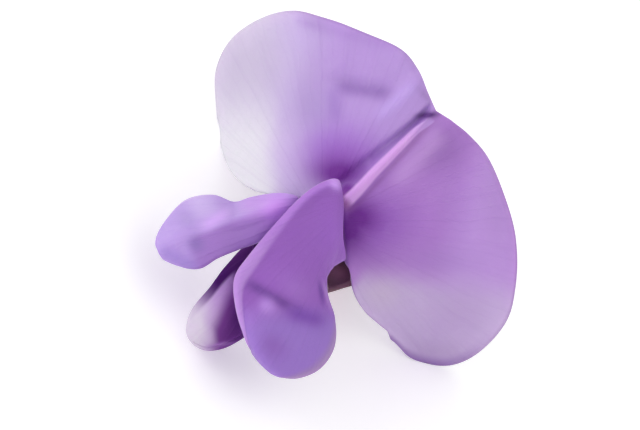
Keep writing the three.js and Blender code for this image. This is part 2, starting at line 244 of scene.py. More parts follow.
# A material and the arithmetic of its nodes.
class Paint:
    def __init__(self, name, **sockets):
        self.material = bpy.data.materials.new(name)
        self.material.use_nodes = True
        self.tree = self.material.node_tree
        self.shader = self.tree.nodes["Principled BSDF"]
        for key, value in sockets.items():
            self.shader.inputs[key.replace("_", " ")].default_value = value
        spot, place = self.split("spot"), self.split("place")
        self.x, self.y, self.z = spot
        self.u, self.v, self.side = place
        self.right, self.high = (self.x + self.y) * SLANT, (self.y - self.x) * SLANT

    def node(self, kind, **settings):
        node = self.tree.nodes.new("ShaderNode" + kind)
        for key, value in settings.items():
            setattr(node, key, value)
        return node

    def feed(self, socket, value):
        if isinstance(value, Number):
            self.tree.links.new(value.socket, socket)
        elif hasattr(value, "links"):
            self.tree.links.new(value, socket)
        else:
            socket.default_value = value

    def split(self, attribute):
        read = self.node("Attribute", attribute_name=attribute)
        parts = self.node("SeparateXYZ")
        self.feed(parts.inputs[0], read.outputs["Vector"])
        return [Number(self, parts.outputs[i]) for i in range(3)]

    def math(self, operation, *values):
        node = self.node("Math", operation=operation)
        for socket, value in zip(node.inputs, values):
            self.feed(socket, value)
        return Number(self, node.outputs[0])

    # 0 below low and 1 above high, with a soft step between them. Where high is less than low, it falls.
    def step(self, low, high, value):
        node = self.node("MapRange", interpolation_type="SMOOTHSTEP")
        for socket, number in zip(node.inputs, (value, low, high, 0.0, 1.0)):
            self.feed(socket, number)
        return Number(self, node.outputs[0])

    # The greatest of some numbers.
    def most(self, *numbers):
        greatest = numbers[0]
        for number in numbers[1:]:
            greatest = self.math("MAXIMUM", greatest, number)
        return greatest

    def oval(self, p, q, width, height):
        p, q = p * (1 / width), q * (1 / height)
        return self.math("EXPONENT", -(p * p + q * q))

    # A soft oval patch, 1 in its middle, placed by x and y or by the picture's right and high.
    def blob(self, x, y, width, height):
        return self.oval(self.x - x, self.y - y, width, height)

    def spot(self, right, high, width, height):
        return self.oval(self.right - right, self.high - high, width, height)

    # A soft band from one point to another, by x and y or by the picture's right and high.
    def band(self, x, y, start, end, width):
        (x0, y0), (x1, y1) = start, end
        length = math.hypot(x1 - x0, y1 - y0)
        ex, ey = (x1 - x0) / length, (y1 - y0) / length
        px, py = x - x0, y - y0
        along, off = px * ex + py * ey, (px * -ey + py * ex) * (1 / width)
        ends = self.step(-0.4, 0.5, along) * self.step(length + 0.4, length - 0.5, along)
        return self.math("EXPONENT", -(off * off)) * ends

    def line(self, start, end, width):
        return self.band(self.x, self.y, start, end, width)

    def stroke(self, start, end, width):
        return self.band(self.right, self.high, start, end, width)

    # Cloudy noise from 0 to 1 with features of about 1 / scale millimetres.
    def noise(self, scale, detail):
        place, node = self.node("CombineXYZ"), self.node("TexNoise")
        for socket, value in zip(place.inputs, (self.x, self.y, self.z)):
            self.feed(socket, value)
        self.feed(node.inputs["Vector"], place.outputs[0])
        node.inputs["Scale"].default_value = scale
        node.inputs["Detail"].default_value = detail
        return Number(self, node.outputs[0])

    def mix(self, share, below, above):
        node = self.node("Mix", data_type="RGBA")
        self.feed(node.inputs[0], share)
        for socket, colour in ((node.inputs[6], below), (node.inputs[7], above)):
            self.feed(socket, linear(*colour) if isinstance(colour, tuple) else colour)
        return node.outputs[2]

    # Lays colours over a first one, each by its own share.
    def layers(self, colour, *over):
        for share, above in over:
            colour = self.mix(share, colour, above)
        return colour

    # Gives the shader its colour, a relief of depth millimetres and, where it varies, its roughness.
    def finish(self, colour, height, depth, roughness=None):
        self.feed(self.shader.inputs["Base Color"], colour)
        if roughness is not None:
            self.feed(self.shader.inputs["Roughness"], roughness)
        node = self.node("Bump")
        node.inputs["Strength"].default_value = 1.0
        node.inputs["Distance"].default_value = depth * MM
        self.feed(node.inputs["Height"], height)
        self.feed(self.shader.inputs["Normal"], node.outputs[0])
        return self.material


PETAL_SHADER = {
    "Roughness": 0.5,
    "Specular_IOR_Level": 0.25,
    "Subsurface_Weight": 0.35,
    "Subsurface_Radius": (1.0, 0.7, 1.0),
    "Subsurface_Scale": 0.0005,
    "Sheen_Weight": 0.05,
    "Sheen_Roughness": 0.5,
}
PETAL_RELIEF = 0.05


# Fine veins that fan out from a point of the face, as thin lines of 0 to 1.
def fan_veins(paint, x, y, count):
    angle = paint.math("ARCTAN2", paint.y - y, paint.x - x)
    wander = paint.noise(0.5, 2.0) * 0.04
    main = paint.math("SINE", (angle + wander) * count)
    fine = paint.math("SINE", (angle + wander * 1.6) * (count * 2.3))
    return paint.step(0.8, 1.0, main) * 0.6 + paint.step(0.82, 1.0, fine) * 0.4


# Low relief that every petal has: raised veins, fine cells and soft unevenness.
def petal_grain(paint, veins):
    return veins * 0.25 + paint.noise(11.0, 2.0) * 0.22 + paint.noise(1.1, 2.0) * 1.2


# left is 1 on the lobe that pales outwards, the upper left one in the picture, and right on the other.
def standard_material():
    p = Paint("standard_petal", **{**PETAL_SHADER, "Specular_IOR_Level": 0.14, "Sheen_Weight": 0.0})
    cloud = p.noise(0.3, 2.0) * 0.8 - 0.4
    mottle = p.noise(0.9, 3.0) - 0.5
    left = p.step(0.2, -0.2, p.x)
    right = 1.0 - left
    rim = p.math("ABSOLUTE", p.u)
    lavender = p.step(-0.2, -2.9, p.right + cloud) * left
    pale = p.step(-2.4, -5.0, p.right + cloud - p.high * 0.12 + 0.5) * left
    white = p.step(-2.6, -4.0, p.right + cloud * 0.6) * p.step(5.6, 2.4, p.high) * left
    violet = p.spot(-0.7, 2.4, 1.5, 1.1) * left
    grey_foot = p.step(-2.3, -4.3, p.high + p.right * 0.12 + cloud * 0.8) * right
    grey_foot = grey_foot * p.step(0.4, 1.1, p.right - p.high * 0.5 - 1.6)
    outer = p.step(4.4, 6.4, p.right - p.high * 0.3) * right
    deep = 1.12 * p.most(
        p.spot(-0.35, 1.2, 1.25, 0.75),
        p.spot(0.5, -0.85, 1.0, 0.85),
        p.spot(0.05, 0.3, 0.5, 0.7),
        p.spot(0.15, -1.35, 0.85, 1.05),
    )
    around = p.most(p.spot(-0.1, 1.9, 2.0, 1.2), p.spot(1.3, -1.1, 1.9, 1.5))
    crease_middle = p.step(2.0, 0.5, p.y) * 0.06 + p.step(4.3, 5.3, p.y) * 0.15 + 0.02
    crease_off = p.math("ABSOLUTE", p.x - crease_middle)
    crease_width = 0.27 - p.y * 0.023
    crease = p.step(1.25, 0.7, p.math("DIVIDE", crease_off, crease_width))
    crease = crease * p.step(-0.2, 0.2, p.y) * p.step(5.4, 5.2, p.y)
    crease_colour = p.mix(p.step(3.5, 5.2, p.y), (0.84, 0.64, 0.91), (0.74, 0.6, 0.85))
    # groove lays painted shade along the groove on the crease's left.
    groove = p.line((-0.4, 2.2), (-0.16, 5.45), 0.17) * (p.step(2.5, 5.2, p.y) * 0.4 + 0.4)
    throat_wall = p.step(0.345, 0.31, p.v) * p.step(-2.5, -1.5, p.high) * right
    front = p.layers(
        p.mix(left, (0.69, 0.505, 0.795), (0.71, 0.585, 0.825)),
        (lavender, (0.755, 0.68, 0.84)),
        (p.spot(-2.7, 7.4, 1.8, 1.0) * 0.5, (0.77, 0.69, 0.87)),
        (pale * 0.9, (0.8, 0.77, 0.84)),
        (white, (0.85, 0.84, 0.87)),
        (violet * 0.6, (0.66, 0.47, 0.82)),
        (p.spot(-1.55, 4.2, 1.05, 1.25) * 0.6, (0.645, 0.55, 0.765)),
        # Painted shade along the soft fold across the left lobe.
        (p.stroke((-0.4, 5.12), (2.05, 4.76), 0.36) * 0.8, (0.58, 0.445, 0.715)),
        (p.stroke((-0.6, 5.0), (-0.5, 3.5), 0.33) * 0.5, (0.6, 0.46, 0.755)),
        (p.spot(-4.7, 6.3, 1.9, 1.5) * 0.6, (0.74, 0.69, 0.795)),
        (p.spot(-2.7, 2.3, 1.0, 1.4) * 0.5, (0.79, 0.72, 0.855)),
        # Painted highlight along the low ridge of the left lobe beside the crease.
        (p.stroke((3.2, 5.3), (1.4, 3.7), 0.32) * left * 0.6, (0.75, 0.64, 0.89)),
        (p.stroke((-2.2, 8.1), (2.2, 6.9), 0.3) * left * 0.35, (0.64, 0.5, 0.77)),
        (outer * 0.7, (0.765, 0.625, 0.87)),
        (grey_foot * 0.9, (0.765, 0.685, 0.835)),
        (p.spot(1.6, -4.2, 0.9, 0.8) * 0.5, (0.77, 0.7, 0.79)),
        # Painted shade in the dimple of the right lobe.
        (p.spot(4.2, 2.3, 1.3, 1.1) * 0.95, (0.58, 0.41, 0.69)),
        (p.spot(5.0, -0.4, 1.0, 2.2) * 0.35, (0.66, 0.51, 0.78)),
        (p.stroke((2.2, 0.9), (4.4, 3.0), 0.5) * right * 0.4, (0.75, 0.6, 0.83)),
        (p.spot(4.2, -2.8, 2.0, 0.7) * 0.35, (0.63, 0.49, 0.76)),
        (p.spot(4.3, -7.1, 1.7, 0.6) * 0.5, (0.65, 0.56, 0.72)),
        (p.spot(5.3, -5.2, 1.5, 1.7) * 0.4, (0.66, 0.53, 0.75)),
        (p.spot(7.0, -0.1, 0.9, 2.6) * 0.45, (0.64, 0.5, 0.74)),
        # Painted light that lifts the shade the relief casts right of the crease.
        (p.line((0.95, 2.0), (0.85, 5.0), 0.42) * 0.4, (0.79, 0.63, 0.87)),
        (p.spot(1.2, -2.5, 0.9, 0.8) * 0.4, (0.56, 0.37, 0.67)),
        (around * 0.8, (0.58, 0.355, 0.735)),
        (deep, (0.44, 0.185, 0.57)),
        (p.line((-0.65, 0.9), (-0.5, 2.6), 0.22) * 0.3, (0.46, 0.24, 0.62)),
        # Painted shade in the groove left of the crease.
        (groove, (0.47, 0.31, 0.62)),
        (p.line((0.42, 2.0), (0.3, 5.2), 0.13) * 0.4, (0.58, 0.4, 0.64)),
        (p.line((0.52, -0.2), (0.46, 2.0), 0.12) * 0.4, (0.52, 0.31, 0.6)),
        (p.blob(0.6, 4.8, 0.3, 0.8) * 0.4, (0.73, 0.56, 0.83)),
        (p.blob(-0.75, 5.85, 0.5, 0.2) * 0.5, (0.58, 0.46, 0.68)),
        (throat_wall * 0.7, (0.39, 0.16, 0.52)),
        (p.spot(-0.02, -0.12, 0.28, 0.35) * 0.7, (0.64, 0.42, 0.63)),
        (crease * 0.95, crease_colour),
        # Painted shadow at the crease's upper end, by the notch.
        (p.line((-0.36, 4.95), (0.16, 5.62), 0.14) * 1.3, (0.38, 0.24, 0.5)),
    )
    # Painted shadow along the right lobe's lower margin; the other two rims darken the margins.
    low_rim_shade = p.step(0.93, 1.0, rim) * p.step(5.5, 5.9, p.x) * p.step(0.9, -2.4, p.y)
    top_rim = p.step(0.95, 1.0, rim) * p.step(4.0, 5.4, p.y) * left
    thin_rim = p.step(0.975, 1.0, rim) * p.step(-3.5, -1.5, p.right)
    back = p.layers(
        (0.77, 0.67, 0.86),
        (p.step(-0.3, 0.3, mottle) * 0.5, (0.83, 0.76, 0.89)),
        (p.step(0.24, 0.04, rim) * 0.75, (0.87, 0.8, 0.89)),
        (p.step(0.3, 0.1, p.v), (0.92, 0.87, 0.87)),
        (p.blob(0.0, 5.7, 0.7, 0.5) * 0.8, (0.36, 0.16, 0.42)),
    )
    veins = fan_veins(p, 0.0, -1.5, 40.0)
    colour = p.mix(p.step(-0.4, 0.4, p.side), back, front)
    colour = p.mix(p.step(0.1, 0.4, mottle) * 0.12, colour, (0.86, 0.78, 0.92))
    colour = p.mix(veins * 0.05, colour, (0.5, 0.3, 0.66))
    dark_rim = p.most(low_rim_shade * 0.8, top_rim * 0.35, thin_rim * 0.35)
    colour = p.mix(dark_rim, colour, (0.5, 0.37, 0.63))
    return p.finish(colour, petal_grain(p, veins), PETAL_RELIEF)


# The right wing's left margin is where u is 0; a painted highlight runs along it where it curls up.
def right_wing_material():
    p = Paint("wing_petal_right", **PETAL_SHADER)
    mottle = p.noise(0.7, 3.0)
    left_rim_highlight = p.step(0.07, 0.02, p.u - p.step(0.55, 0.75, p.v) * 0.05) * p.step(0.44, 0.5, p.v)
    colour = p.layers(
        (0.59, 0.372, 0.735),
        (mottle * 0.35, (0.63, 0.42, 0.765)),
        (p.step(-4.4, -5.9, p.high) * 0.9, (0.61, 0.47, 0.79)),
        # Painted highlight on the lower swelling of the wing.
        (p.blob(1.2, -4.5, 0.8, 0.6) * 0.55, (0.65, 0.46, 0.79)),
        (p.blob(2.35, -7.0, 0.7, 0.5) * 0.5, (0.55, 0.34, 0.7)),
        (p.blob(0.7, -6.9, 0.5, 0.5) * 0.5, (0.64, 0.46, 0.8)),
        (p.blob(-0.1, -5.9, 0.7, 0.5) * 0.5, (0.54, 0.34, 0.68)),
        # Painted shade along the wing's fold and on past it.
        (p.line((-0.5, -5.8), (1.7, -5.25), 0.24) * 0.85, (0.46, 0.27, 0.62)),
        (p.line((1.7, -5.45), (3.2, -4.6), 0.42) * 0.9, (0.49, 0.3, 0.68)),
        (p.line((1.75, -3.5), (2.6, -4.1), 0.12) * 0.8, (0.42, 0.24, 0.6)),
        # Painted highlight on the upper swelling of the wing.
        (p.blob(0.88, -5.92, 0.42, 0.36) * 0.9, (0.72, 0.55, 0.86)),
        (p.blob(0.6, -1.4, 0.9, 1.3) * 0.5, (0.625, 0.4, 0.79)),
        (p.step(0.9, 0.97, p.u) * p.step(0.6, 0.7, p.v) * 0.8, (0.64, 0.52, 0.7)),
        # Painted highlight along the curled left margin, brighter above.
        (left_rim_highlight * p.step(-2.6, -0.8, p.high) * 0.42, (0.79, 0.6, 0.92)),
        (left_rim_highlight * p.step(-0.8, -2.6, p.high) * 0.8, (0.74, 0.57, 0.85)),
        # Painted highlight at the top of the wing's rim.
        (p.blob(-0.85, 0.12, 0.3, 0.22) * 0.8, (0.84, 0.66, 0.98)),
        (p.line((1.95, -3.42), (3.0, -4.02), 0.08) * 0.6, (0.74, 0.58, 0.84)),
        (p.step(0.965, 0.985, p.v) * 0.5, (0.53, 0.41, 0.7)),
    )
    return wing_finish(p, colour, mottle)


# The left wing is light above its fold and has painted shade below it, towards its lower margin, with a
# painted highlight along the fold's crest.
def left_wing_material():
    p = Paint("wing_petal_left", **PETAL_SHADER)
    mottle = p.noise(0.7, 3.0)
    below_fold_shade = (p.x + 3.2) * 0.922 + (p.y + 4.95) * -0.386
    colour = p.layers(
        (0.715, 0.595, 0.85),
        (mottle * 0.25, (0.66, 0.53, 0.81)),
        (p.step(-4.6, -6.6, p.y) * p.step(-3.9, -4.6, p.x) * 0.6, (0.71, 0.6, 0.86)),
        (p.blob(-4.7, -4.8, 0.9, 0.7) * 0.8, (0.79, 0.705, 0.9)),
        (p.blob(-4.5, -5.75, 0.5, 0.4) * 0.7, (0.64, 0.54, 0.79)),
        # Painted shade on the side of the fold that turns away from the light.
        (p.step(-0.16, 0.18, below_fold_shade) * p.step(-7.3, -6.6, p.right) * 0.85, (0.62, 0.45, 0.755)),
        (p.blob(-3.35, -6.25, 0.4, 0.38) * 0.8, (0.53, 0.42, 0.7)),
        (p.line((-2.4, -7.0), (-4.4, -7.6), 0.4) * 0.75, (0.6, 0.49, 0.78)),
        # Painted highlight along the crest of the wing's fold.
        (p.line((-3.66, -5.5), (-3.4, -4.1), 0.27) * 0.9, (0.81, 0.66, 0.93)),
        (p.line((-3.2, -3.6), (-2.1, -2.2), 0.45) * 0.8, (0.745, 0.57, 0.865)),
        (p.step(0.34, 0.24, p.v) * 0.9, (0.6, 0.42, 0.74)),
        # Painted light that offsets the shade the right wing casts here.
        (p.blob(-1.85, -2.55, 0.6, 0.8), (0.83, 0.6, 0.96)),
    )
    return wing_finish(p, colour, mottle)


# The paler back, the veins and the relief of a wing.
def wing_finish(p, front, mottle):
    veins = fan_veins(p, 0.2, 0.5, 60.0)
    back = p.layers((0.74, 0.6, 0.86), (mottle * 0.4, (0.8, 0.69, 0.89)))
    colour = p.mix(p.step(0.4, -0.4, p.side) * 0.7, front, back)
    colour = p.mix(veins * 0.04, colour, (0.42, 0.24, 0.62))
    return p.finish(colour, petal_grain(p, veins), PETAL_RELIEF)


def keel_material():
    p = Paint("keel_petals", **{**PETAL_SHADER, "Specular_IOR_Level": 0.0, "Sheen_Weight": 0.0})
    mottle = p.noise(0.8, 3.0)
    rim = p.math("ABSOLUTE", p.u * 2.0 - 1.0)
    inside = p.layers((0.37, 0.165, 0.45), (mottle * 0.3, (0.46, 0.24, 0.54)))
    # The left side is whitish where it curls over and turns dark purple beyond a line that runs down the
    # beak: the keel's own purple, deepened by painted shade towards the right wing. A painted dark band of
    # shade runs along its outer border, and painted shade fills the gap between the wings. Low down, the
    # whole outside stays pale.
    beyond = (p.x + 1.07) * -0.925 + (p.y + 6.24) * -0.38 + p.step(-8.2, -8.9, p.y) * 0.35
    above = p.step(-0.5, 0.3, p.z + p.step(-7.2, -4.6, p.y) * 1.1)
    shade_strip_edge = p.step(-6.4, -7.8, p.y) * 0.12 + p.step(0.7, -0.3, p.z) * 0.5
    shade_strip = p.step(-1.2, -1.38, p.x - shade_strip_edge) * above
    outside = p.layers(
        (0.8, 0.76, 0.82),
        (mottle * 0.4, (0.77, 0.69, 0.83)),
        (p.step(-8.6, -6.8, p.y) * above * 0.9, (0.74, 0.59, 0.83)),
        (p.step(0.85, 0.1, beyond) * above * 0.55, (0.64, 0.48, 0.73)),
        # The keel's own purple, with painted shade darkest next to the right wing.
        (p.step(0.28, -0.4, beyond) * above, (0.43, 0.23, 0.52)),
        (p.step(-0.3, -0.9, beyond) * above * 0.5, (0.33, 0.14, 0.43)),
        # Painted shade along the keel's upper-left border, paler towards the beak.
        (shade_strip * p.step(-8.9, -7.4, p.y) * 0.6, (0.5, 0.38, 0.58)),
        (shade_strip * p.step(-8.3, -6.7, p.y), (0.29, 0.12, 0.39)),
        # Painted shade where the keel shows through the gap between the wings.
        (p.step(-6.3, -5.7, p.y) * above * 0.95, (0.31, 0.14, 0.39)),
        # Painted light from the floor shining through the keel's lower rim.
        (p.line((0.3, -9.1), (0.95, -8.2), 0.1) * 0.8, (0.6, 0.42, 0.7)),
    )
    veins = fan_veins(p, -0.3, 2.0, 80.0)
    colour = p.mix(p.step(-0.4, 0.4, p.side), inside, outside)
    colour = p.mix(veins * 0.07, colour, (0.55, 0.36, 0.66))
    colour = p.mix(p.step(0.9, 0.98, rim) * p.step(-8.4, -7.6, p.y) * 0.8, colour, (0.36, 0.2, 0.46))
    return p.finish(colour, petal_grain(p, veins), 0.04)


def stamen_material():
    p = Paint("stamens_and_pistil", Roughness=0.42, Subsurface_Weight=0.3, Subsurface_Scale=0.0004)
    cloud = p.noise(2.0, 3.0)
    strands = p.step(0.1, 1.0, p.math("SINE", p.u * (2 * math.pi * 9)))
    colour = p.layers(
        (0.74, 0.56, 0.78),
        (strands * 0.3, (0.86, 0.74, 0.86)),
        (cloud * 0.3, (0.66, 0.46, 0.72)),
        (p.step(0.5, 0.9, p.side), (0.89, 0.82, 0.62)),
    )
    height = strands * 0.6 + p.noise(8.0, 2.0) * 0.4
    return p.finish(colour, height, 0.04)


CALYX_SHADER = {
    "Specular_IOR_Level": 0.5,
    "Coat_Weight": 0.25,
    "Coat_Roughness": 0.25,
    "Subsurface_Weight": 0.08,
    "Subsurface_Scale": 0.0003,
}


# u is 1 on a rib of the calyx and v grows from its base to its rim.
def calyx_material():
    p = Paint("calyx", **CALYX_SHADER)
    cloud = p.noise(0.9, 4.0)
    fleck = p.noise(5.0, 2.0)
    colour = p.layers(
        (0.235, 0.125, 0.18),
        (cloud * 0.6, (0.31, 0.17, 0.23)),
        (p.u * 0.45, (0.42, 0.28, 0.31)),
        (p.step(0.45, 1.0, p.v) * 0.6, (0.47, 0.28, 0.35)),
        (p.step(0.14, 0.0, p.v) * 0.6, (0.33, 0.26, 0.2)),
        (p.step(0.62, 0.8, fleck) * 0.25, (0.48, 0.34, 0.36)),
        # Painted light on the calyx tooth that shows under the wing, offsetting the shade that falls on it
        # there.
        (p.blob(2.05, -2.55, 0.5, 0.5), (1.0, 0.7, 0.84)),
        (p.step(0.4, -0.4, p.side) * 0.6, (0.5, 0.35, 0.42)),
    )
    height = p.noise(7.0, 3.0) * 0.5 + cloud
    return p.finish(colour, height, 0.05, 0.34 + cloud * 0.14)


def pedicel_material():
    p = Paint("pedicel", Specular_IOR_Level=0.4, Subsurface_Weight=0.15, Subsurface_Scale=0.0003)
    cloud = p.noise(1.5, 3.0)
    strands = p.math("SINE", p.u * (2 * math.pi * 11))
    colour = p.layers(
        (0.6, 0.65, 0.27),
        (cloud * 0.5, (0.5, 0.56, 0.2)),
        (p.step(0.2, 0.0, p.v) * 0.7, (0.36, 0.25, 0.2)),
        (p.step(0.2, 1.0, strands) * 0.25, (0.7, 0.73, 0.4)),
    )
    height = strands * 0.5 + p.noise(6.0, 2.0) * 0.6
    return p.finish(colour, height, 0.04, 0.42 + cloud * 0.15)


# ---- The standard petal --------------------------------------------------------------------------
# The claw is the narrow base that runs back into the calyx. lobe_depth gives the lobes their depth.
MIDLINE_CLAW = [
    flower(0.12, 6.2, -0.88), flower(0.1, 4.6, -0.82), flower(0.05, 3.2, -0.48), flower(0, 1.6, 0.25),
]
MIDLINE_CREASE = [
    (-0.1, -0.28, 0.75), (-0.02, 0.3, 1.4), (0, 1.5, 1.55), (0, 3.2, 1.4), (0, 4.7, 1.2), (0.03, 5.7, 1.0),
]
EDGE_RIGHT_CLAW = [
    flower(0.85, 6.2, -1.2), flower(0.92, 4.6, -1.15), flower(1.35, 3.2, -1.15), flower(2.05, 2.0, -1.4),
]
EDGE_LEFT_CLAW = [
    flower(-0.62, 6.2, -1.2), flower(-0.72, 4.6, -1.15), flower(-1.1, 3.2, -1.12), flower(-1.75, 2.0, -1.3),
]
EDGE_RIGHT_LOBE = [
    (1.75, -1.98, -1.8), (2.45, -2.3, -1.65), (3.35, -2.75, -1.6), (4.6, -3.15, 0), (6.1, -3.11, 0),
    (7.5, -2.97, 0), (8.82, -2.08, 0), (9.3, -0.8, 0), (9.14, 1.1, 0), (8.25, 2.6, 0), (6.65, 4.2, 0),
    (4.8, 5.25, 0), (3.2, 5.87, 0), (1.9, 5.99, 0), (0.8, 5.88, 0),
]
EDGE_LEFT_LOBE = [
    (-1.78, -1.72, -1.8), (-2.46, -2.24, -1.6), (-3.33, -2.67, -1.6), (-4.6, -2.85, 0), (-5.9, -2.35, 0),
    (-7.45, -1.15, 0), (-8.5, -0.05, 0), (-8.92, 1.4, 0), (-8.6, 3.05, 0), (-7.75, 4.37, 0),
    (-6.3, 5.25, 0), (-4.3, 6.13, 0), (-2.95, 6.57, 0), (-1.8, 6.43, 0), (-0.8, 6.02, 0),
]
# How far the lobes bend back, and how much further their lower corners hang.
BEND_LEFT, BEND_RIGHT, BEND_POWER = 0.36, 0.3, 1.3
DROP = 3.75
# The raised crease between the lobes and the groove on its left, which narrow towards the notch.
RIDGE, RIDGE_WIDTH = 0.38, 0.32
GROOVE, GROOVE_OFF, GROOVE_WIDTH = 0.25, 0.65, 0.3
GUTTER_ARCH = 0.22
CLAW_ROWS, BLADE_ROWS, HALF_COLUMNS = 34, 130, 74
CLAW_SHARE = 0.25
# How deep the nick in the right lobe's lower margin is, as a share of the lobe's width.
NICK = 0.045
# A fold's start and direction in the face.
LEFT_LOBE_FOLD = (-4.8, 2.9), (0.817, 0.577)


# How deep the petal lies behind its midline.
def lobe_depth(x, y, v):
    width = np.abs(x)
    bend = np.where(x < 0, BEND_LEFT, BEND_RIGHT) * width**BEND_POWER * (0.35 + smooth(5, -3, y))
    drop = DROP * smooth(2.2, -2.4, y) * smooth(2, 7, width)
    opened = smooth(0, 0.15, v) * (1 - smooth(0.9, 1, v))
    narrow = 1 - 0.55 * smooth(0, 5.5, y)
    ridge = RIDGE * bump(x, RIDGE_WIDTH * narrow) * opened * narrow
    groove = GROOVE * bump(x + GROOVE_OFF * narrow, GROOVE_WIDTH * narrow) * opened
    return bend + drop - ridge + groove


def standard_petal(material):
    midline = through([*MIDLINE_CLAW, *MIDLINE_CREASE])
    right = through([*EDGE_RIGHT_CLAW, *EDGE_RIGHT_LOBE])
    left = through([*EDGE_LEFT_CLAW, *EDGE_LEFT_LOBE])
    middle_bend = len(MIDLINE_CLAW) / (len(MIDLINE_CLAW) + len(MIDLINE_CREASE) - 1)
    edge_bend = len(EDGE_RIGHT_CLAW) / (len(EDGE_RIGHT_CLAW) + len(EDGE_RIGHT_LOBE) - 1)
    s = np.linspace(-1, 1, 2 * HALF_COLUMNS + 1)
    u = np.sign(s) * np.abs(s) ** 1.6
    rows, where = [], []
    for t in np.arange(CLAW_ROWS) / CLAW_ROWS:
        ends = np.where((u < 0)[:, None], left(edge_bend * t), right(edge_bend * t))
        share = np.abs(u)[:, None]
        middle = midline(middle_bend * t)
        rows.append(middle + (ends - middle) * share + TOP * 4 * GUTTER_ARCH * share * (1 - share))
        where.append(t * CLAW_SHARE)
    for v in np.arange(BLADE_ROWS + 1) / BLADE_ROWS:
        middle = midline(middle_bend + (1 - middle_bend) * v)
        along = edge_bend + (1 - edge_bend) * v
        ends = np.where((u < 0)[:, None], left(along), right(along))
        notched = smooth(0.17, 0.25, v) * (1 - smooth(0.275, 0.285, v))
        nick = 1 - NICK * notched * (u > 0) * smooth(0.8, 1, np.abs(u))
        share = (np.abs(u) * nick)[:, None]
        q = middle + (ends - middle) * share
        steep = middle[2] + (ends[:, 2] - middle[2]) * np.sin(share[:, 0] * math.pi / 2)
        x, y = q[:, 0], q[:, 1]
        opened = middle[2] - lobe_depth(x, y, v) + lobe_relief(x, y, np.abs(u), v)
        throat = 1 - smooth(0, 0.08, v)
        q[:, 2] = opened + (steep - opened) * throat
        rows.append(q)
        where.append(CLAW_SHARE + (1 - CLAW_SHARE) * v)
    grid = np.array(rows)
    uu, vv = np.meshgrid(u, where)
    rim = smooth(0.88, 1, np.abs(uu))
    level = smooth(0.78, 0.9, vv)
    lean = -PETAL_THICKNESS / 2
    name, slot, node = "standard_petal_skin", "standard_petal", "standard_petal"
    petal(name, grid, uu, vv, rim, lean, material, node, level)


# Small forms of the lobes: wavy margins, soft folds on the left one and a dimple on the right one.
def lobe_relief(x, y, share, v):
    margin = smooth(0.55, 1, share) * smooth(0.1, 0.25, v) * smooth(1, 0.9, v)
    wave = 0.16 * margin * np.sin(17 * v + np.where(x < 0, 0.6, 2.1))
    wave = wave + 0.07 * margin * np.sin(43 * v + x)
    off, along = off_and_along(x, y, *LEFT_LOBE_FOLD)
    fold = -0.22 * bump(off, 0.45) * smooth(0, 1.4, along) * smooth(4.2, 2.8, along)
    fold = fold + 0.1 * bump(x + 1.55, 0.35) * smooth(3.0, 4.2, y)
    dimple = -0.14 * hill(x, y, (1.8, 4.2), 0.9)
    soft = 0.05 * np.sin(1.1 * x + 0.7 * y) + 0.04 * np.sin(0.8 * x - 1.7 * y + 1.0)
    soft = soft + 0.025 * np.sin(2.9 * x + 2.1 * y)
    return wave + fold + dimple + soft * smooth(0.05, 0.3, share)


# ---- The wing petals -----------------------------------------------------------------------------
# The two margins of each wing, from the claw to the tip. The petal bulges out of the face between them.
RIGHT_UPPER = [
    flower(1.1, 6.2, -1.65), flower(1.1, 4.2, -1.72), (1.08, -2.12, -1.6), (1.2, -2.2, -0.35),
    (1.76, -1.86, 0.8), (0.74, -1.09, 1.85), (-0.35, 0.0, 2.65), (-1.02, 0.3, 3.0), (-1.5, -0.95, 3.15),
    (-1.5, -3.0, 3.4), (-1.34, -4.88, 3.55), (-1.08, -6.07, 3.6), (-0.16, -6.92, 3.6), (1.08, -7.58, 3.42),
    (2.3, -7.9, 3.17),
]
RIGHT_LOWER = [
    flower(1.1, 6.2, -2.35), flower(1.1, 4.2, -2.4), (1.15, -2.67, -1.6), (1.3, -2.8, -0.3),
    (1.55, -2.75, 0.5), (1.68, -2.75, 0.9), (1.76, -3.0, 0.95), (2.0, -3.5, 0.8), (2.7, -4.0, 0.7),
    (3.6, -4.35, 0.8), (4.35, -5.2, 1.2), (4.55, -6.25, 1.8), (4.22, -7.15, 2.43), (3.68, -7.67, 2.85),
    (2.85, -7.92, 3.1),
]
LEFT_UPPER = [
    flower(-0.82, 6.2, -1.65), flower(-0.85, 4.2, -1.7), (-0.95, -2.0, -1.6), (-1.05, -2.1, -0.2),
    (-1.3, -1.85, 1.0), (-1.66, -1.5, 1.75), (-2.38, -2.02, 1.6), (-3.08, -2.96, 1.1), (-3.5, -3.7, 0.8),
    (-4.4, -4.15, 0.7), (-5.08, -5.1, 0.8), (-5.12, -6.2, 1.1), (-4.87, -7.13, 1.6), (-4.42, -7.6, 2.1),
]
LEFT_LOWER = [
    flower(-0.82, 6.2, -2.35), flower(-0.85, 4.2, -2.4), (-0.95, -2.62, -1.6), (-0.95, -2.7, -0.2),
    (-1.15, -2.5, 0.8), (-1.3, -2.6, 1.5), (-1.35, -3.3, 2.1), (-1.43, -4.12, 2.5), (-1.85, -5.05, 2.7),
    (-2.24, -6.0, 2.95), (-2.43, -6.8, 3.03), (-2.85, -7.25, 2.9), (-3.45, -7.53, 2.6),
    (-4.08, -7.69, 2.28),
]
RIGHT_BULGE, LEFT_BULGE = 0.55, 0.8
TIP_ROUNDING = 0.07
RIGHT_WING_FOLD = (-0.5, -5.8), (0.957, 0.29)
WING_ROWS, WING_COLUMNS = 130, 60


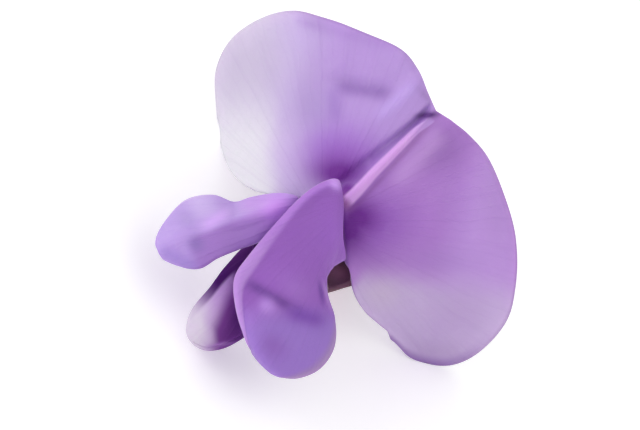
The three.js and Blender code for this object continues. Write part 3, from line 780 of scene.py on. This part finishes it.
def wing(name, upper, lower, bulge, relief, material, node):
    near, far = through(upper), through(lower)
    t = np.linspace(0, 1, WING_ROWS + 1)[:, None]
    s = (1 - np.cos(np.linspace(0, math.pi, WING_COLUMNS + 1)))[None, :] / 2
    a, b = near(t[:, 0])[:, None], far(t[:, 0])[:, None]
    grid = a + (b - a) * s[..., None]
    rise = 4 * bulge * smooth(0.25, 0.5, t) * smooth(0, 3, np.linalg.norm(b - a, axis=-1))
    grid[..., 2] += rise * s * (1 - s) + relief(grid[..., 0], grid[..., 1], t, s)
    ahead = unit(near(1.0) - near(0.93) + far(1.0) - far(0.93))
    grid += ahead * (TIP_ROUNDING * 4 * s * (1 - s) * smooth(0.88, 1, t))[..., None]
    uu, vv = np.broadcast_to(s, grid.shape[:2]), np.broadcast_to(t, grid.shape[:2])
    rim = np.maximum(smooth(0.86, 1, np.abs(2 * uu - 1)), smooth(0.97, 1, vv))
    grid, uu, vv, rim = (values[:, ::-1] for values in (grid, uu, vv, rim))
    petal(name, grid, uu, vv, rim, 0.0, material, node)


# Small forms of the right wing: a fold across it, two swellings and a left margin that curls up.
def right_relief(x, y, t, s):
    soft = 0.07 * np.sin(1.5 * x + 0.9 * y) + 0.05 * np.sin(2.6 * x - 1.4 * y)
    off, along = off_and_along(x, y, *RIGHT_WING_FOLD)
    dent = -0.2 * bump(off, 0.28) * smooth(-0.2, 0.6, along) * smooth(3.6, 2.4, along)
    swell = 0.18 * hill(x, y, (0.88, -5.95), 0.25) + 0.16 * hill(x, y, (1.2, -4.5), 0.5)
    curl = 0.2 * smooth(0.16, 0, s) * smooth(0.4, 0.55, t)
    return (soft + dent + swell) * smooth(0.35, 0.6, t) * 4 * s * (1 - s) + curl


# Small forms of the left wing: a fold that runs along it.
def left_relief(x, y, t, s):
    fold = 0.4 * np.exp(-(((s - 0.4) / 0.16) ** 2)) * smooth(0.4, 0.55, t) * smooth(0.98, 0.75, t)
    soft = 0.06 * np.sin(1.7 * x + 1.1 * y)
    return fold + soft * smooth(0.35, 0.6, t) * 4 * s * (1 - s)


# ---- The keel ------------------------------------------------------------------------------------
# Each section of the boat: its bottom, its top, half its width, and how many degrees it wraps round
# from its bottom to the left and to the right.
KEEL = [
    (flower(0.15, 6.2, -2.95), flower(0.15, 6.2, -0.55), 1.2, 22, 22),
    (flower(0.15, 4.2, -3.05), flower(0.15, 4.2, -0.65), 1.2, 24, 24),
    (flower(0.1, 2.4, -3.6), (0.6, -1.5, -1.75), 1.05, 38, 38),
    ((-0.07, -4.8, -2.4), (-0.07, -4.0, -0.5), 1.33, 98, 76),
    ((-0.3, -6.4, -1.7), (-0.2, -5.3, 1.3), 1.2, 200, 90),
    ((-0.22, -7.8, -0.8), (-0.12, -6.4, 2.2), 1.1, 247, 104),
    ((-0.3, -8.85, 0.4), (-0.15, -7.4, 2.85), 0.95, 253, 107),
    ((-0.32, -9.18, 1.3), (-0.17, -8.3, 2.95), 0.67, 252, 108),
    ((-0.32, -9.25, 1.75), (-0.24, -8.85, 2.75), 0.4, 252, 108),
    ((-0.3, -9.17, 2.22), (-0.3, -9.16, 2.26), 0.015, 252, 108),
]
KEEL_ROWS, KEEL_COLUMNS = 130, 90


# Two directions across a path at each t, at right angles to it and to each other.
def frames_along(path, t):
    ahead = unit(path(np.minimum(t + 0.01, 1)) - path(np.maximum(t - 0.01, 0)))
    across = unit(np.array([1.0, 0, 0]) - ahead * ahead[:, :1])
    return across, np.cross(ahead, across)


def keel(material):
    t = np.linspace(0, 1, KEEL_ROWS + 1)
    bottom, top = through([k[0] for k in KEEL])(t), through([k[1] for k in KEEL])(t)
    half, left, right = (through([(k[i],) * 3 for k in KEEL])(t)[:, :1] for i in (2, 3, 4))
    s = np.linspace(0, 1, KEEL_COLUMNS + 1)[None, :]
    angle = np.radians(-left + (left + right) * s)
    grid = ((bottom + top) / 2)[:, None] - ((top - bottom) / 2)[:, None] * np.cos(angle)[..., None]
    grid[..., 0] += half * np.sin(angle)
    uu, vv = np.broadcast_to(s, grid.shape[:2]), np.broadcast_to(t[:, None], grid.shape[:2])
    rim = smooth(0.9, 1, np.abs(2 * uu - 1))
    lean = PETAL_THICKNESS / 2
    petal("keel_petals_skin", grid, uu, vv, rim, lean, material, "keel_petals")


# ---- Stamens and pistil --------------------------------------------------------------------------
# Points of the column of stamens with its radius there. The filaments are grown together up to
# SHEATH_END and run freely beyond it, round the style.
COLUMN = [
    (flower(0.13, 6.2, -1.88), 0.3), (flower(0.13, 4.2, -1.9), 0.3), (flower(0.02, 2.6, -2.2), 0.32),
    ((0.0, -3.4, -1.5), 0.35), ((-0.1, -4.7, -0.8), 0.36), ((-0.1, -5.9, -0.1), 0.32),
    ((-0.05, -6.7, 0.9), 0.2),
]
SHEATH_END = 0.7
FREE_START = SHEATH_END - 0.08
FILAMENTS, FILAMENT_RADIUS = 9, 0.045
ANTHER_RADIUS, ANTHER_HALF_LENGTH = 0.11, 0.2
STYLE_PLACES, STYLE_RADII = [0.6, 0.93, 0.96, 1], [0.08, 0.07, 0.1, 0.05]
SHEATH_ROWS, FILAMENT_ROWS, ANTHER_ROWS, STYLE_ROWS = 70, 30, 9, 34
SHEATH_SIDES, FILAMENT_SIDES, ANTHER_SIDES, STYLE_SIDES = 24, 8, 10, 12
FILAMENT_TAG, ANTHER_TAG = 0.0, 1.0


def stamens(material):
    path, radii = path_and_radii(COLUMN)
    tubes = Tubes()
    t = np.linspace(0, SHEATH_END, SHEATH_ROWS)
    closing = np.sqrt(np.clip((SHEATH_END - t) / 0.02, 0.15, 1))
    tubes.add(path(t), radii(t)[:, 0] * closing, SHEATH_SIDES, FILAMENT_TAG)
    for k in range(FILAMENTS):
        turn = 2 * math.pi * (k + 0.3) / FILAMENTS
        reach = 0.9 + 0.1 * math.sin(5 * k)
        t = np.linspace(FREE_START, reach, FILAMENT_ROWS)
        across, up = frames_along(path, t)
        spread = 0.08 * np.linspace(0, 1, FILAMENT_ROWS) * (1 + 0.4 * math.sin(3 * k))
        loose = (0.13 + spread)[:, None]
        line = path(t) + loose * (across * math.cos(turn) + up * math.sin(turn))
        tubes.add(line, np.full(FILAMENT_ROWS, FILAMENT_RADIUS), FILAMENT_SIDES, FILAMENT_TAG)
        tip, way = line[-1], unit(line[-1] - line[-3])
        along = np.linspace(-ANTHER_HALF_LENGTH, ANTHER_HALF_LENGTH, ANTHER_ROWS)
        swell = ANTHER_RADIUS * np.sqrt(1.02 - (along / ANTHER_HALF_LENGTH) ** 2)
        tubes.add(tip + way * along[:, None], swell, ANTHER_SIDES, ANTHER_TAG)
    t = np.linspace(FREE_START, 1, STYLE_ROWS)
    tubes.add(path(t), np.interp(t, STYLE_PLACES, STYLE_RADII), STYLE_SIDES, FILAMENT_TAG)
    tubes.make("stamens_and_pistil_skin", material, "stamens_and_pistil")


# ---- The calyx -----------------------------------------------------------------------------------
CALYX_X, CALYX_Z = 0.15, -1.8
CALYX_BASE, CALYX_DEPTH, CALYX_FLOOR = 8.0, 4.1, 1.15
CALYX_TURN = math.radians(-34)
# Radii of the bell at depths from its base, and its teeth: the direction, half the width in radians and
# the length of each.
CALYX_PROFILE = [
    (0, 0.9), (0.35, 1.5), (0.9, 2.05), (1.8, 2.42), (2.6, 2.5), (3.5, 2.45), (4.6, 2.68), (6.4, 3.2),
]
RIBS, RIB, RIB_WIDTH = 10, 0.1, 0.17
CALYX_WALL, WALL_THINNED = 0.6, 0.36
TEETH = [(90, 0.75, 1.7), (204, 0.42, 2.0), (270, 0.42, 2.1), (342, 0.42, 2.0)]
CALYX_COLUMNS, CALYX_ROWS = 300, 44


def calyx(material):
    angle = np.arange(CALYX_COLUMNS) * 2 * math.pi / CALYX_COLUMNS
    tooth = np.zeros(CALYX_COLUMNS)
    for direction, half_width, length in TEETH:
        turned = angle - math.radians(direction)
        off = np.abs(np.arctan2(np.sin(turned), np.cos(turned)))
        tooth = np.maximum(tooth, length * (1 - off / half_width))
    rib = bump((angle * RIBS / (2 * math.pi) + 0.5) % 1 - 0.5, RIB_WIDTH)
    profile = through([(d, r, 0) for d, r in CALYX_PROFILE])(np.linspace(0, 1, 200))

    def ring(share, inside):
        edge = CALYX_DEPTH + tooth * smooth(0.45, 1, share)
        lowest = CALYX_FLOOR if inside else 0.0
        depth = lowest + (edge - lowest) * share
        wall = CALYX_WALL - WALL_THINNED * smooth(0.3, 1, share)
        r = np.interp(depth, profile[:, 0], profile[:, 1])
        r = r + (-wall if inside else RIB * rib * smooth(0, 0.1, share))
        turn = angle + CALYX_TURN
        return flower(CALYX_X + r * np.cos(turn), CALYX_BASE - depth, CALYX_Z + r * np.sin(turn))

    shares = np.linspace(0, 1, CALYX_ROWS)
    rings = [ring(s, False) for s in shares] + [ring(s, True) for s in shares[::-1]]
    points = np.array(rings).reshape(-1, 3)
    faces = ring_faces(len(rings), CALYX_COLUMNS)
    last = (len(rings) - 1) * CALYX_COLUMNS
    faces += [list(range(CALYX_COLUMNS))[::-1], [last + j for j in range(CALYX_COLUMNS)]]
    v = np.concatenate([shares, shares[::-1]])
    side = np.concatenate([np.ones(CALYX_ROWS), -np.ones(CALYX_ROWS)])
    v, side = np.repeat(v, CALYX_COLUMNS), np.repeat(side, CALYX_COLUMNS)
    place = np.stack([np.tile(rib, len(rings)), v, side], -1)
    make_mesh("calyx_skin", points, faces, place, material, "calyx")


# ---- The pedicel ---------------------------------------------------------------------------------
# Points of the pedicel with its radius there.
PEDICEL = [
    (flower(0.15, 8.35, -1.8), 0.62), (flower(0.15, 8.8, -1.8), 0.5), (flower(0.2, 9.6, -1.6), 0.44),
    (flower(0.3, 10.4, -1.2), 0.48),
]
# The shares of the radius that are left at its two ends.
PEDICEL_ENDS = 0.8, 0.9
PEDICEL_ROWS, PEDICEL_SIDES = 42, 40


def pedicel(material):
    path, radii = path_and_radii(PEDICEL)
    t = np.concatenate([[0], np.linspace(0, 1, PEDICEL_ROWS - 2), [1]])
    r = radii(t)[:, 0]
    r[[0, -1]] *= PEDICEL_ENDS
    tubes = Tubes()
    tubes.add(path(np.linspace(0, 1, PEDICEL_ROWS)), r, PEDICEL_SIDES, 0.0)
    tubes.make("pedicel_skin", material, "pedicel")


standard_petal(standard_material())
wing(
    "wing_petal_right_skin", RIGHT_UPPER, RIGHT_LOWER, RIGHT_BULGE, right_relief, right_wing_material(),
    "wing_petal_right",
)
wing(
    "wing_petal_left_skin", LEFT_UPPER, LEFT_LOWER, LEFT_BULGE, left_relief, left_wing_material(),
    "wing_petal_left",
)
keel(keel_material())
stamens(stamen_material())
calyx(calyx_material())
pedicel(pedicel_material())

# ---- Floor, light and camera ---------------------------------------------------------------------
WHITE = (1.0, 1.0, 1.0, 1.0)
FLOOR_SHADER = {
    "Base Color": (0.96, 0.96, 0.96, 1.0),
    "Emission Color": WHITE,
    "Emission Strength": 0.25,
    "Roughness": 0.9,
}
FLOOR_SIZE = 2.0
WORLD_STRENGTH = 0.8

floor_paint = bpy.data.materials.new("floor")
floor_paint.use_nodes = True
for socket, value in FLOOR_SHADER.items():
    floor_paint.node_tree.nodes["Principled BSDF"].inputs[socket].default_value = value
bpy.ops.mesh.primitive_plane_add(size=FLOOR_SIZE)
floor = bpy.context.object
floor.name = "floor"
floor.data.materials.append(floor_paint)

# The picture's right, up and towards-the-camera directions, in the part's frame.
RIGHT = Vector(TO_PART @ unit(vec(1, 1, 0)))
HIGH = Vector(TO_PART @ unit(vec(-1, 1, 0)))
TOWARDS = Vector(TO_PART @ vec(0, 0, 1))
# Where the picture is centred, in the face frame, the camera's distance and the view's width.
PICTURE_CENTRE = vec(-0.35, -1.35, 0)
DISTANCE = 0.6
VIEW_WIDTH = 0.029

target = Vector(to_part(PICTURE_CENTRE))
camera = bpy.data.objects.new("camera", bpy.data.cameras.new("camera"))
bpy.context.scene.collection.objects.link(camera)
turn = Matrix((RIGHT, HIGH, TOWARDS)).transposed().to_4x4()
camera.matrix_world = Matrix.Translation(target + TOWARDS * DISTANCE) @ turn
camera.data.lens = camera.data.sensor_width * DISTANCE / VIEW_WIDTH
camera.data.clip_start = 0.01
bpy.context.scene.camera = camera


# A square soft light that looks at the target from a distance in metres. Its power is in watts.
def area_light(name, way, distance, size, power):
    light = bpy.data.lights.new(name, "AREA")
    light.size = size
    light.energy = power
    obj = bpy.data.objects.new(name, light)
    place = target + way.normalized() * distance
    aim = (place - target).to_track_quat("Z", "Y").to_matrix().to_4x4()
    obj.matrix_world = Matrix.Translation(place) @ aim
    bpy.context.scene.collection.objects.link(obj)


area_light("key", -RIGHT * 0.55 + HIGH * 0.55 + TOWARDS * 0.7, 0.4, 0.22, 0.43)
area_light("fill", RIGHT * 0.7 + HIGH * 0.2 + TOWARDS * 0.8, 0.5, 0.4, 0.15)

world = bpy.data.worlds.new("world")
bpy.context.scene.world = world
world.use_nodes = True
world.node_tree.nodes["Background"].inputs["Color"].default_value = WHITE
world.node_tree.nodes["Background"].inputs["Strength"].default_value = WORLD_STRENGTH
bpy.context.scene.view_settings.view_transform = "Standard"
